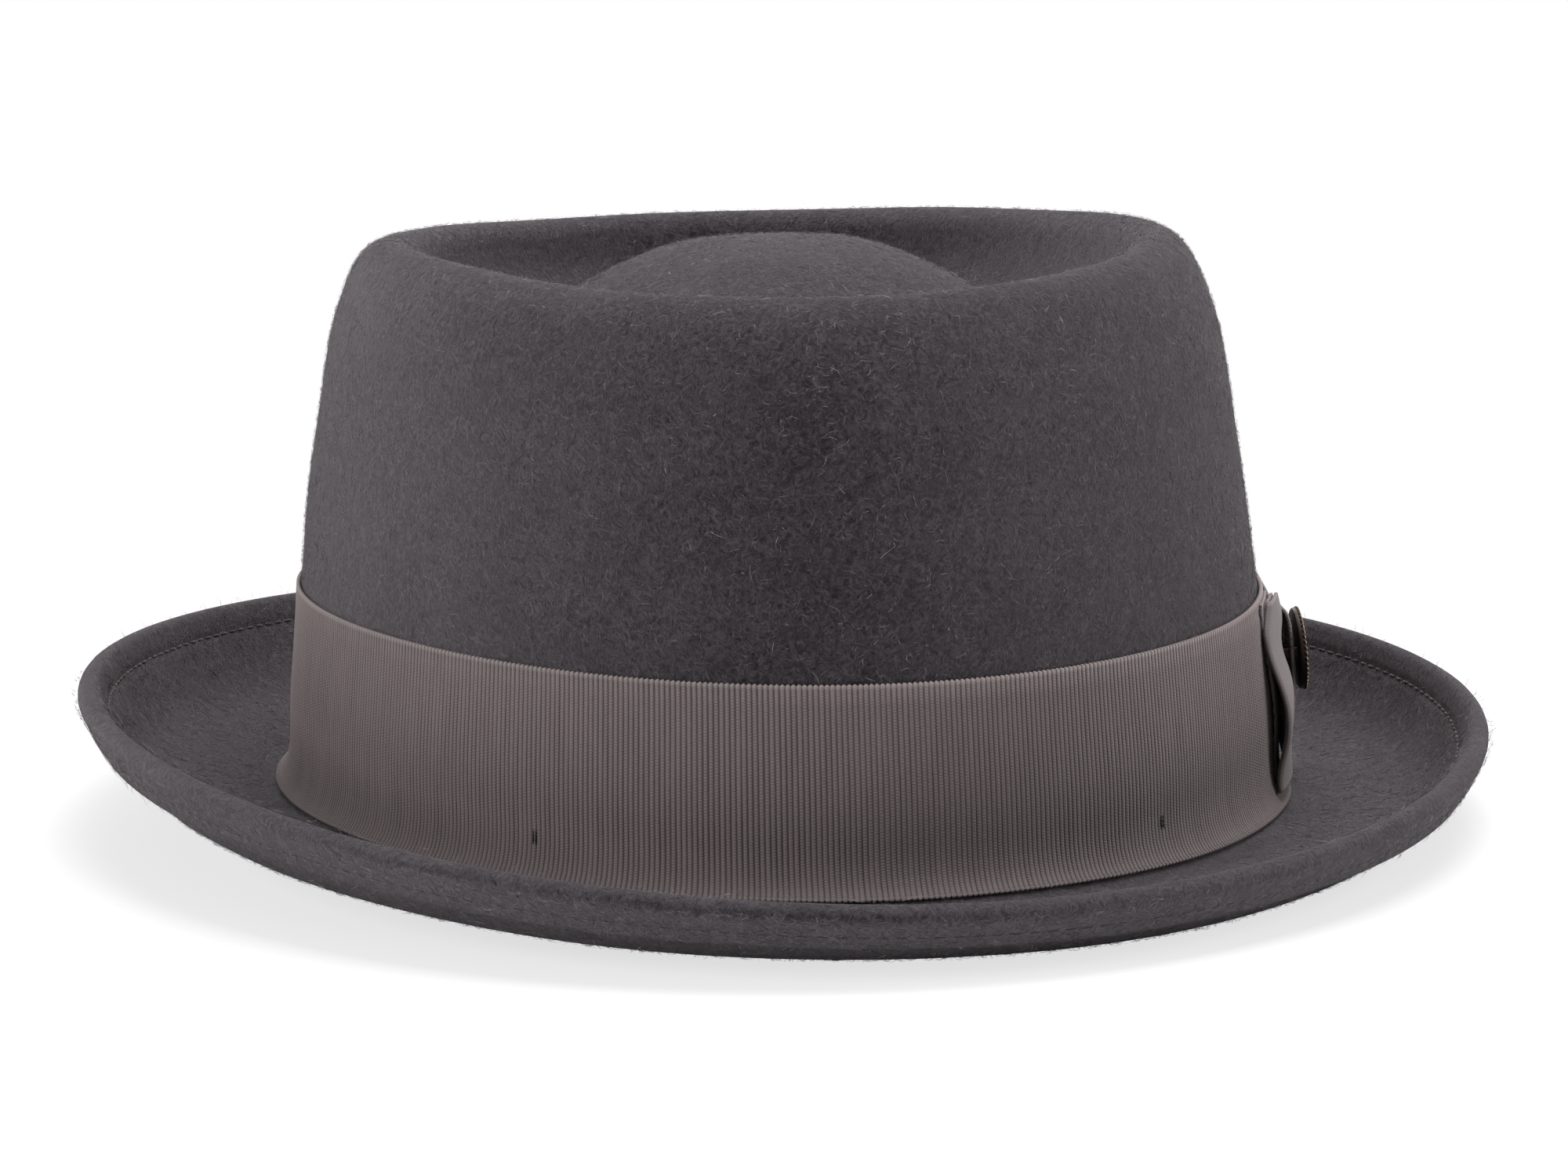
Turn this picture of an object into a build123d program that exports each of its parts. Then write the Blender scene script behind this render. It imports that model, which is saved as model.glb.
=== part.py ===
"""Wool felt hat with a telescope crown, a short curled brim, a ribbon band and a side bow.

Millimetres, Z up. The front of the hat faces -Y, and the bow is on +X, the wearer's left. The
origin is on the surface that the hat rests on, under the middle of the brim.

The felt and everything laid on it are rings. One profile line, half of the section across the
hat, runs from the middle of the crown out to the brim's edge. A place on the hat is a station
(the distance along that line) and a depth (0 on the outer face, growing towards the head).
"""

import os
from math import cos, degrees, pi, radians, sin

from build123d import *

# Felt body: half sizes of the oval at the foot of the crown, and the heights of its landmarks
crown_half_width = 90.0
crown_half_length = 105.8
felt_thickness = 2.2
break_height = 4.81
crown_rise = 99.9
wall_lean = 0.043
wall_round = 0.088
oval_power = 1.94

# Top of the crown: a rounded rim, a gutter inside it and a raised oval dome
rim_inset = 21.0
rim_outer_reach = 9.5
rim_outer_drop = 15.0
rim_inner_radius = 5.0
gutter_inset = 39.0
gutter_depth = 16.0
dome_rise = 17.0

# Brim: how far it reaches past the crown, how high its edge curls, and the folded welt
brim_reach_side = 34.8
brim_reach_end = 38.9
brim_curl = 13.75
welt_width = 6.5
welt_step = 0.9
seam_inset = 3.4

# Warp of the rings at the break, the brim's edge and the rim: forward tilt, saddle and roll
break_warp = (0.3, 0.5, -1.9)
brim_warp = (-3.9, 2.9, -4.0)
rim_warp = (1.4, 1.8, 0.0)
rim_shift = (-1.0, -2.8)

# Ribbon band
ribbon_foot = -0.2
ribbon_width = 38.0
ribbon_thickness = 0.8
ribbon_gap = 0.25
thread_radius = 0.25
tack_length = 3.0
tack_height = 7.0
tack_turns = (-33, 33, 147, 213)

# Bow: a flat tail layer, two loops in front of it and a knot wrapped round them all
bow_turn = -4.5
bow_length = 70.0
bow_height = 34.0
bow_waist = 21.4
waist_reach = 17.0
bow_foot = 3.0
bow_gap = 0.3
bow_thickness = 0.6
tail_length = 60.0
loop_thickness = 2.4
knot_width = 12.0

# Badge pressed onto the knot by two prongs
badge_radius = 7.9
badge_thickness = 1.5
badge_rim_width = 1.6
badge_lift = 3.0
badge_centre_gap = 0.05
prong_spacing = 7.0
prong_width = 1.6
prong_thickness = 0.5

# Inside the crown
layer_gap = 0.2
lining_thickness = 0.5
lining_foot = 10.0
lining_rise = 66.0
tip_dome = 7.0
piping_radius = 1.1
sweatband_foot = 3.4
sweatband_height = 36.0
sweatband_thickness = 1.1
reed_radius = 0.8
reed_tape_thickness = 0.4
seam_height = 2.5
back_bow_length = 24.0
back_bow_height = 9.0
back_bow_thickness = 1.2
back_bow_gap = 0.4
tag_length = 24.0
tag_height = 14.0
tag_thickness = 0.3

# Worked out from the sizes above
ring_points = 24
rim_height = break_height + crown_rise
gutter_half_width = crown_half_width - gutter_inset
extra_length = crown_half_length - crown_half_width
lining_depth = felt_thickness + layer_gap
sweatband_depth = lining_depth + lining_thickness + layer_gap
sweatband_face = sweatband_depth + sweatband_thickness

os.makedirs("parts", exist_ok=True)


def wall_inset(rise):
    """How far the crown's wall has come in at a height above the break."""
    return wall_lean * rise + wall_round * rise * rise / 100


def dome_points():
    """The dome from its top to the gutter's floor, as shares of the gutter's width and depth."""
    shares = ((0.0, 1.0), (0.29, 0.93), (0.51, 0.70), (0.67, 0.44), (0.83, 0.16), (1.0, 0.0))
    floor = rim_height - gutter_depth
    return [(gutter_half_width * x, floor + dome_rise * z) for x, z in shares]


def rim_points():
    """Up the gutter's outer side, over the rounded rim and down to the top of the wall."""
    middle = crown_half_width - rim_inset
    slope = gutter_inset - rim_inset - rim_inner_radius
    points = [(middle - rim_inner_radius - 0.35 * slope, rim_height - 0.80 * gutter_depth)]
    for turn in (180, 140, 100):
        x = middle + rim_inner_radius * cos(radians(turn))
        z = rim_height - rim_inner_radius * (1 - sin(radians(turn)))
        points.append((x, z))
    for turn in (60, 30):
        x = middle + rim_outer_reach * cos(radians(turn))
        z = rim_height - rim_outer_drop * (1 - sin(radians(turn)))
        points.append((x, z))
    return points


def wall_points():
    """Down the crown's wall to the start of the break."""
    rises = [crown_rise * share for share in (0.84, 0.70, 0.55, 0.40, 0.25, 0.12, 0.05)]
    return [(crown_half_width - wall_inset(rise), break_height + rise) for rise in rises]


def brim_points():
    """Round the break and out to the upper side of the brim's edge."""
    shares = (
        (0.012, 0.20), (0.05, 0.045), (0.13, -0.065), (0.27, -0.06), (0.46, 0.0),
        (0.63, 0.06), (0.74, 0.145), (0.84, 0.35), (0.92, 0.64), (1.0, 1.0),
    )
    return [(crown_half_width + brim_reach_side * x, break_height + brim_curl * z) for x, z in shares]


with BuildLine(Plane.XZ) as profile:
    Spline(
        *dome_points(), *rim_points(), *wall_points(), *brim_points(), tangents=((1, 0), (0.5, 0.87))
    )

profile_line = profile.edges()[0]
profile_length = profile_line.length


def stations(first, last, spacing=2.5):
    """Evenly spaced distances along the profile line, both ends included."""
    count = max(1, round(abs(last - first) / spacing))
    return [first + (last - first) * k / count for k in range(count + 1)]


def wall_station(rise):
    """The station where the crown's outside is at a height above the break."""
    low = 0.42 * profile_length
    high = 0.84 * profile_length
    for _ in range(40):
        middle = (low + high) / 2
        height = profile_line.position_at(middle, position_mode=PositionMode.LENGTH).Z
        if height > break_height + rise:
            low = middle
        else:
            high = middle
    return low


def mix(first, second, share):
    """A set of warp values part of the way from one line to another."""
    return [a + (b - a) * share for a, b in zip(first, second)]


def oval_place(half_width, half_length, height, warp, shift, angle):
    """A point on one oval of the hat, at an angle from +X towards +Y."""
    forward, saddle, roll = warp
    across = (abs(cos(angle)) / half_width) ** oval_power
    along = (abs(sin(angle)) / half_length) ** oval_power
    reach = (across + along) ** (-1 / oval_power)
    rise = height - forward * sin(angle) + saddle * cos(2 * angle) + roll * cos(angle)
    return Vector(reach * cos(angle) + shift[0], reach * sin(angle) + shift[1], rise)


def ring(half_width, half_length, height, warp, shift):
    """One closed oval of the hat, bent out of its plane by its warp."""
    turns = [k / ring_points for k in range(ring_points + 1)]
    places = [
        oval_place(half_width, half_length, height, warp, shift, 2 * pi * turn)
        for turn in turns[:-1]
    ]
    return Wire([Edge.make_spline(places, periodic=True, parameters=turns)])


def stretch(half_width):
    """How much longer than wide half a ring is: it grows over the dome and again over the brim."""
    if half_width < gutter_half_width:
        return extra_length * half_width / gutter_half_width
    past = max(0.0, half_width - crown_half_width)
    return extra_length + (brim_reach_end - brim_reach_side) * past / brim_reach_side


def oval_at(station, depth, along=0.0):
    """The oval at a station and depth; along moves it on in the line's own direction."""
    spot = profile_line.position_at(station, position_mode=PositionMode.LENGTH)
    heading = profile_line.tangent_at(station, position_mode=PositionMode.LENGTH)
    half_width = spot.X + heading.Z * depth + heading.X * along
    height = spot.Z - heading.X * depth + heading.Z * along
    if spot.X > crown_half_width:
        share = (spot.X - crown_half_width) / brim_reach_side
        warp = mix(break_warp, brim_warp, share * share)
        shift = (0.0, 0.0)
    else:
        share = (spot.Z - break_height) / crown_rise
        levelling = min(1.0, spot.X / gutter_half_width)
        warp = [value * levelling for value in mix(break_warp, rim_warp, share)]
        shift = mix((0.0, 0.0), rim_shift, max(0.0, share))
    return half_width, half_width + stretch(spot.X), height, warp, shift


def place_at(station, depth, angle):
    """The point at a station, depth and angle."""
    return oval_place(*oval_at(station, depth), radians(angle))


def closed_band(section):
    """A closed solid all the way round the hat; its section is a list of station, depth, along."""
    rings = [ring(*oval_at(*corner)) for corner in section]
    return Solid.make_loft(rings + rings[:1], ruled=True)


def layer(first, last, near, thickness):
    """A band of even thickness between two stations, its outer face at the depth near."""
    outer = [(station, near, 0) for station in stations(first, last)]
    inner = [(station, near + thickness, 0) for station in stations(last, first)]
    return closed_band(outer + inner)


def arc_section(station, depth, radius, first, last, count):
    """Places on an arc about a station and depth, the turn measured from the inward direction."""
    turns = [radians(first + (last - first) * k / count) for k in range(count + 1)]
    return [(station, depth + radius * cos(turn), radius * sin(turn)) for turn in turns]


def hoop(station, depth, radius):
    """A closed round hoop that runs all the way round the hat at a station and depth."""
    return closed_band(arc_section(station, depth, radius, 0, 324, 9))


def crown_point(depth):
    """Where the rings of the dome close, on the middle of the crown."""
    height = dome_points()[0][1]
    share = (height - break_height) / crown_rise
    return Vertex(rim_shift[0] * share, rim_shift[1] * share, height - depth)


# Felt: crown and brim are one blocked piece, with the brim's edge folded under as a welt
welt_start = profile_length - welt_width
first_ring = 6.0
with BuildPart() as felt_body:
    outside = [(station, 0, 0) for station in stations(first_ring, profile_length)]
    edge_roll = [
        (profile_length, felt_thickness * (1 - cos(turn)), felt_thickness * sin(turn))
        for turn in (pi / 4, pi / 2, 3 * pi / 4)
    ]
    welt = [(s, 2 * felt_thickness, 0) for s in stations(profile_length, welt_start)]
    inside = [(s, felt_thickness, 0) for s in stations(welt_start - welt_step, first_ring)]
    rings = [ring(*oval_at(*place)) for place in outside + edge_roll + welt + inside]
    add(Solid.make_loft([crown_point(0), *rings, crown_point(felt_thickness)], ruled=True))
felt_body.part.label = "felt_body"
export_step(felt_body.part, "parts/felt_body.step")

# Thread that holds the welt: one line on the brim's upper side and its mate underneath
seam_station = profile_length - seam_inset
with BuildPart() as brim_stitching:
    add(hoop(seam_station, -thread_radius - ribbon_gap, thread_radius))
    add(hoop(seam_station, 2 * felt_thickness + thread_radius + ribbon_gap, thread_radius))
brim_stitching.part.label = "brim_stitching"
export_step(brim_stitching.part, "parts/brim_stitching.step")

# Ribbon band, from just above the break, with its foot flaring over the start of the brim
band_foot = wall_station(ribbon_foot)
band_top = band_foot - ribbon_width
band_face = -ribbon_gap - ribbon_thickness
with BuildPart() as hatband_ribbon:
    add(layer(band_top, band_foot, band_face, ribbon_thickness))
hatband_ribbon.part.label = "hatband_ribbon"
export_step(hatband_ribbon.part, "parts/hatband_ribbon.step")

# Short upright tacks near the band's lower edge
with BuildPart() as ribbon_tacks:
    for turn in tack_turns:
        depth = band_face - thread_radius - 0.05
        low = place_at(band_foot - tack_height, depth, turn - 90)
        high = place_at(band_foot - tack_height - tack_length, depth, turn - 90)
        stitch = Plane(origin=low, z_dir=high - low)
        with BuildSketch(stitch):
            Circle(thread_radius)
        extrude(amount=(high - low).length)
ribbon_tacks.part.label = "ribbon_tacks"
export_step(ribbon_tacks.part, "parts/ribbon_tacks.step")

# The bow lies on a plane that leans with the band: local X is outward, Y runs round the hat
bow_bottom = band_foot - bow_foot
bow_low = place_at(bow_bottom, band_face, bow_turn)
bow_high = place_at(bow_bottom - bow_height, band_face, bow_turn)
bow_up = (bow_high - bow_low).normalized()
bow_round = place_at(bow_bottom, band_face, bow_turn + 1) - place_at(bow_bottom, band_face, bow_turn - 1)
bow_out = bow_round.cross(bow_up).normalized()
bow_plane = Plane(origin=(bow_low + bow_high) / 2, x_dir=bow_out, z_dir=bow_up)
bow_bend = crown_half_length**2 / crown_half_width

# Its layers, as distances out from the band
knot_back = bow_gap
tail_back = knot_back + bow_thickness + bow_gap
tail_front = tail_back + bow_thickness
loop_back = tail_front + bow_gap
loop_front = loop_back + loop_thickness
knot_front = loop_front + bow_gap
knot_face = knot_front + bow_thickness
knot_inside = bow_waist + 2 * bow_gap
knot_height = knot_inside + 2 * bow_thickness


def bent_strip(plane, bend, near, far, first, last, height):
    """A strip bent about a centre behind the plane's origin, between two distances from it."""
    start = degrees(first / bend)
    turn = degrees(last / bend) - start
    with BuildPart() as strip:
        with BuildSketch(plane):
            with BuildLine():
                inner = CenterArc((-bend, 0), bend + near, start, turn)
                outer = CenterArc((-bend, 0), bend + far, start, turn)
                Line(inner @ 0, outer @ 0)
                Line(inner @ 1, outer @ 1)
            make_face()
        extrude(amount=height / 2, both=True)
    return strip.part


def bow_strip(near, far, first, last, height):
    """A strip of the bow, following the band's bend."""
    return bent_strip(bow_plane, bow_bend, near, far, first, last, height)


# The layers are gathered to a waist under the knot: a wedge is cut away above and below it
with BuildPart() as waist_wedges:
    with BuildSketch(Plane(bow_plane.origin, x_dir=bow_plane.y_dir, z_dir=bow_plane.x_dir)) as wedges:
        with BuildLine():
            Polyline(
                (-waist_reach, bow_height / 2), (-knot_width / 2, bow_waist / 2),
                (knot_width / 2, bow_waist / 2), (waist_reach, bow_height / 2),
                (waist_reach, bow_height), (-waist_reach, bow_height), close=True,
            )
        make_face()
        mirror(about=Plane.XZ)
    extrude(amount=2 * knot_face, both=True)

with BuildPart() as bow_tail:
    add(bow_strip(tail_back, tail_front, -tail_length / 2, tail_length / 2, bow_height))
    add(waist_wedges.part, mode=Mode.SUBTRACT)
bow_tail.part.label = "bow_tail"
export_step(bow_tail.part, "parts/bow_tail.step")

# Each loop is a folded length of the same ribbon, rounded where it turns back
loop_ends = {"bow_front_loop": (-bow_length / 2, -bow_gap), "bow_rear_loop": (bow_gap, bow_length / 2)}
for name, (first, last) in loop_ends.items():
    with BuildPart() as bow_loop:
        add(bow_strip(loop_back, loop_front, first, last, bow_height))
        folds = bow_loop.edges().sort_by(Axis.Y)
        upright = [edge for edge in folds if edge.length > 0.9 * bow_height]
        turned = upright[:2] if first < -bow_gap else upright[-2:]
        fillet(turned, 0.45 * loop_thickness)
        add(waist_wedges.part, mode=Mode.SUBTRACT)
    bow_loop.part.label = name
    export_step(bow_loop.part, f"parts/{name}.step")

with BuildPart() as bow_knot:
    add(bow_strip(knot_back, knot_face, -knot_width / 2, knot_width / 2, knot_height))
    add(
        bow_strip(knot_back + bow_thickness, knot_front, -knot_width, knot_width, knot_inside),
        mode=Mode.SUBTRACT,
    )
bow_knot.part.label = "bow_knot"
export_step(bow_knot.part, "parts/bow_knot.step")

# Badge: a round casting with a raised edge, a separate centre set into it and two prongs
badge_seat = Plane(
    origin=bow_plane.from_local_coords((knot_face + bow_gap, 0, badge_lift)), z_dir=bow_out
)
centre_radius = badge_radius - badge_rim_width
centre_floor = badge_thickness / 3
with BuildPart() as badge_casting:
    with BuildSketch(badge_seat):
        Circle(badge_radius)
    extrude(amount=badge_thickness)
    with BuildSketch(badge_seat.offset(centre_floor)):
        Circle(centre_radius)
    extrude(amount=badge_thickness, mode=Mode.SUBTRACT)
badge_casting.part.label = "badge_casting"
export_step(badge_casting.part, "parts/badge_casting.step")

with BuildPart() as badge_centre:
    with BuildSketch(badge_seat.offset(centre_floor)):
        Circle(centre_radius - badge_centre_gap)
    extrude(amount=badge_thickness / 2)
badge_centre.part.label = "badge_centre"
export_step(badge_centre.part, "parts/badge_centre.step")

# The prongs pierce the knot and the loops behind the badge and stop short of the tail
prong_length = knot_face + bow_gap - loop_back - loop_thickness / 3
with BuildPart() as badge_prongs:
    with BuildSketch(badge_seat):
        with GridLocations(0, prong_spacing, 1, 2):
            Rectangle(prong_width, prong_thickness)
    extrude(amount=-prong_length)
badge_prongs.part.label = "badge_prongs"
export_step(badge_prongs.part, "parts/badge_prongs.step")

# Satin lining: a wall behind the sweatband, and a shallow domed tip joined to it by a piping
lining_low = wall_station(lining_foot)
lining_high = wall_station(lining_rise)
with BuildPart() as lining_wall:
    add(layer(lining_high, lining_low, lining_depth, lining_thickness))
lining_wall.part.label = "lining_wall"
export_step(lining_wall.part, "parts/lining_wall.step")

piping_depth = lining_depth + lining_thickness + layer_gap + piping_radius
piping_station = lining_high + piping_radius
with BuildPart() as lining_piping:
    add(hoop(piping_station, piping_depth, piping_radius))
lining_piping.part.label = "lining_piping"
export_step(lining_piping.part, "parts/lining_piping.step")

tip_half_width, tip_half_length, tip_height, tip_warp, tip_shift = oval_at(
    piping_station, piping_depth + piping_radius + layer_gap
)


def tip_ring(share, drop):
    """A ring of the domed tip, at a share of its half width and a drop below its outer face."""
    height = tip_height + tip_dome * (1 - share * share) - drop
    warp = [value * share for value in tip_warp]
    return ring(tip_half_width * share, tip_half_length * share, height, warp, tip_shift)


tip_shares = (0.15, 0.4, 0.6, 0.8, 0.9, 1.0)
with BuildPart() as lining_tip:
    upper = [tip_ring(share, 0) for share in tip_shares]
    lower = [tip_ring(share, lining_thickness) for share in reversed(tip_shares)]
    top = Vertex(*tip_shift, tip_height + tip_dome)
    bottom = Vertex(*tip_shift, tip_height + tip_dome - lining_thickness)
    add(Solid.make_loft([top, *upper, *lower, bottom], ruled=True))
lining_tip.part.label = "lining_tip"
export_step(lining_tip.part, "parts/lining_tip.step")

# Sweatband: leather round the inside, its lower edge folded over a round reed in a tape
sweatband_low = wall_station(sweatband_foot)
with BuildPart() as sweatband:
    add(layer(sweatband_low - sweatband_height, sweatband_low, sweatband_depth, sweatband_thickness))
sweatband.part.label = "sweatband"
export_step(sweatband.part, "parts/sweatband.step")

tape_inner = reed_radius + layer_gap / 4
tape_outer = tape_inner + reed_tape_thickness
reed_depth = sweatband_depth + tape_outer
reed_station = sweatband_low + tape_outer + layer_gap
with BuildPart() as sweatband_reed:
    add(hoop(reed_station, reed_depth, reed_radius))
sweatband_reed.part.label = "sweatband_reed"
export_step(sweatband_reed.part, "parts/sweatband_reed.step")

with BuildPart() as reed_tape:
    wrap_outside = arc_section(reed_station, reed_depth, tape_outer, -60, 240, 10)
    wrap_inside = arc_section(reed_station, reed_depth, tape_inner, 240, -60, 10)
    add(closed_band(wrap_outside + wrap_inside))
reed_tape.part.label = "reed_tape"
export_step(reed_tape.part, "parts/reed_tape.step")

with BuildPart() as sweatband_stitching:
    seam_depth = sweatband_face + thread_radius + ribbon_gap
    add(hoop(sweatband_low - seam_height, seam_depth, thread_radius))
sweatband_stitching.part.label = "sweatband_stitching"
export_step(sweatband_stitching.part, "parts/sweatband_stitching.step")


def back_plane(low_rise, height):
    """A plane on the sweatband's inner side at the back, leaning with the wall."""
    low = place_at(wall_station(low_rise), sweatband_face, 90)
    high = place_at(wall_station(low_rise + height), sweatband_face, 90)
    up = (high - low).normalized()
    return Plane(origin=(low + high) / 2, x_dir=(0, up.Z, -up.Y), z_dir=up)


back_bend = crown_half_width**2 / crown_half_length - sweatband_face

# Small flat bow over the sweatband's back seam
seam_bow_rise = sweatband_foot + seam_height + 3
with BuildPart() as sweatband_bow:
    seam_plane = back_plane(seam_bow_rise, back_bow_height)
    farthest = -back_bow_gap - back_bow_thickness
    half_bow = back_bow_length / 2
    add(bent_strip(seam_plane, back_bend, farthest, -back_bow_gap, -half_bow, half_bow, back_bow_height))
sweatband_bow.part.label = "sweatband_bow"
export_step(sweatband_bow.part, "parts/sweatband_bow.step")

# Blank size tag stitched to the lining above the sweatband
with BuildPart() as size_tag:
    tag_plane = back_plane(sweatband_foot + sweatband_height + 2, tag_height)
    half_tag = tag_length / 2
    add(bent_strip(tag_plane, back_bend, -tag_thickness, 0, -half_tag, half_tag, tag_height))
size_tag.part.label = "size_tag"
export_step(size_tag.part, "parts/size_tag.step")
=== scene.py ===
from math import cos, pi, radians, sin

import bpy
import numpy as np
from mathutils import Matrix, Vector


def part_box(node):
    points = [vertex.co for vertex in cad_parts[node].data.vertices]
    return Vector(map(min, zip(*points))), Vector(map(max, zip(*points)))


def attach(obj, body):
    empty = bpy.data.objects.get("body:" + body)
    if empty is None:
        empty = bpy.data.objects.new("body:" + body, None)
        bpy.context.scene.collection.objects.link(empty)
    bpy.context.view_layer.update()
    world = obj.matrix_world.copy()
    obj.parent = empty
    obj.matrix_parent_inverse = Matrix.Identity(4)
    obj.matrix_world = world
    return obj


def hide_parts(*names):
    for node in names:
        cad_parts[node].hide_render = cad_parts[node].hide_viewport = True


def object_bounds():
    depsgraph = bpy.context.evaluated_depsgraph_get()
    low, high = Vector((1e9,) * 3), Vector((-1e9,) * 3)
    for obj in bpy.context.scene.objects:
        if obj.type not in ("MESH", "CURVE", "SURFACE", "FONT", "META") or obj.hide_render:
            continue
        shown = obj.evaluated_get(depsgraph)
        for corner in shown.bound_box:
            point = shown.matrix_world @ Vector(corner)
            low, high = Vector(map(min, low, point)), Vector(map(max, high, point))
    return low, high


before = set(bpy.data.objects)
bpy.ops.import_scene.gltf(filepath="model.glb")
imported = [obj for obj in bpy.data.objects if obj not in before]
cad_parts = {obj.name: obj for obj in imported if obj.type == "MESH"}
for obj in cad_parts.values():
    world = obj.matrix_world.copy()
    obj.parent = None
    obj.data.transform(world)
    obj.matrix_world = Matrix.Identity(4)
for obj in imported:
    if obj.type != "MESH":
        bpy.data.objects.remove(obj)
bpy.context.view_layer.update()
bpy.ops.object.select_all(action="DESELECT")


# Camera: a long lens just above the brim, a little to the hat's right, aimed at the middle of the
# crown and tipped a touch clockwise.
hat_turn = radians(-7.96)
camera_rise = radians(11.12)
camera_tip = radians(-0.77)
camera_distance = 1.10
break_floor = 0.0097
aim = Vector((0.0008, 0.0, break_floor + 0.0305))
level_x, level_y = sin(hat_turn), -cos(hat_turn)
away = Vector((level_x * cos(camera_rise), level_y * cos(camera_rise), sin(camera_rise)))
eye = Vector((0, 0, break_floor)) + away * camera_distance
bpy.ops.object.camera_add(location=eye)
camera = bpy.context.object
camera.name = "camera"
camera.data.lens = 136.6
camera.data.sensor_width = 36
camera.data.clip_start = 0.05
camera.rotation_euler = (aim - eye).to_track_quat("-Z", "Y").to_euler()
camera.rotation_euler.rotate_axis("Z", camera_tip)
bpy.context.scene.camera = camera


# Felt body: crown and brim are one piece of wool felt, steamed and pulled over an oval block, with
# the brim's edge folded under as a welt. It is spun flat, its radius being the way along the felt
# from the tip of the crown, and every point is then pulled over the block.
crown_half_width = 0.0900
extra_half_length = 0.0158
felt_thickness = 0.0022
break_height = 0.00481
crown_rise = 0.0999
rim_height = break_height + crown_rise
gutter_half_width = 0.051
brim_reach_side = 0.0348
brim_reach_end = 0.0389
brim_curl = 0.01375
welt_width = 0.0065
seam_inset = 0.0034
oval_power = 1.94


def half_section():
    """Half of the block's section across the hat, from the tip of the crown to the brim's edge."""
    dome = ((0.0, 1.0), (0.29, 0.93), (0.51, 0.70), (0.67, 0.44), (0.83, 0.16), (1.0, 0.0))
    points = [(gutter_half_width * x, rim_height - 0.016 + 0.017 * z) for x, z in dome]
    points.append((0.059450, rim_height - 0.0128))
    for turn, reach, drop in ((180, 5, 5), (140, 5, 5), (100, 5, 5), (60, 9.5, 15), (30, 9.5, 15)):
        x = 0.069 + reach / 1000 * cos(radians(turn))
        points.append((x, rim_height - drop / 1000 * (1 - sin(radians(turn)))))
    for share in (0.84, 0.70, 0.55, 0.40, 0.25, 0.12, 0.05):
        rise = crown_rise * share
        points.append((crown_half_width - 0.043 * rise - 0.88 * rise * rise, break_height + rise))
    brim = (
        (0.012, 0.20), (0.05, 0.045), (0.13, -0.065), (0.27, -0.06), (0.46, 0.0),
        (0.63, 0.06), (0.74, 0.145), (0.84, 0.35), (0.92, 0.64), (1.0, 1.0),
    )
    for x, z in brim:
        points.append((crown_half_width + brim_reach_side * x, break_height + brim_curl * z))
    return np.array(points)


def smooth_line(points, first_way, last_way, steps=40):
    """A smooth line through the points, in short steps, that leaves and arrives in given ways."""
    gaps = np.linalg.norm(np.diff(points, axis=0), axis=1)
    matrix = np.eye(len(points))
    right = np.zeros((len(points), 2))
    right[0] = first_way
    right[-1] = last_way
    runs = np.diff(points, axis=0) / gaps[:, None]
    for k in range(1, len(points) - 1):
        matrix[k, k - 1 : k + 2] = gaps[k], 2 * (gaps[k - 1] + gaps[k]), gaps[k - 1]
        right[k] = 3 * (runs[k - 1] * gaps[k] + runs[k] * gaps[k - 1])
    slopes = np.linalg.solve(matrix, right)
    t = np.linspace(0, 1, steps, endpoint=False)[:, None]
    line = []
    for k, gap in enumerate(gaps):
        line.append(
            (2 * t**3 - 3 * t**2 + 1) * points[k] + (t**3 - 2 * t**2 + t) * gap * slopes[k]
            + (3 * t**2 - 2 * t**3) * points[k + 1] + (t**3 - t**2) * gap * slopes[k + 1]
        )
    return np.vstack(line + [points[-1:]])


block_line = smooth_line(half_section(), (1.0, 0.0), (0.498, 0.867))
line_way = np.concatenate([[0], np.cumsum(np.linalg.norm(np.diff(block_line, axis=0), axis=1))])
line_heading = np.gradient(block_line, line_way, axis=0)
line_heading /= np.linalg.norm(line_heading, axis=1)[:, None]
felt_length = line_way[-1]


def wall_way(rise):
    """The way along the felt at which the crown's wall is at a height above the break."""
    wall = line_way > 0.45 * felt_length
    wall &= line_way < 0.84 * felt_length
    return float(np.interp(-break_height - rise, -block_line[wall, 1], line_way[wall]))


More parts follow.
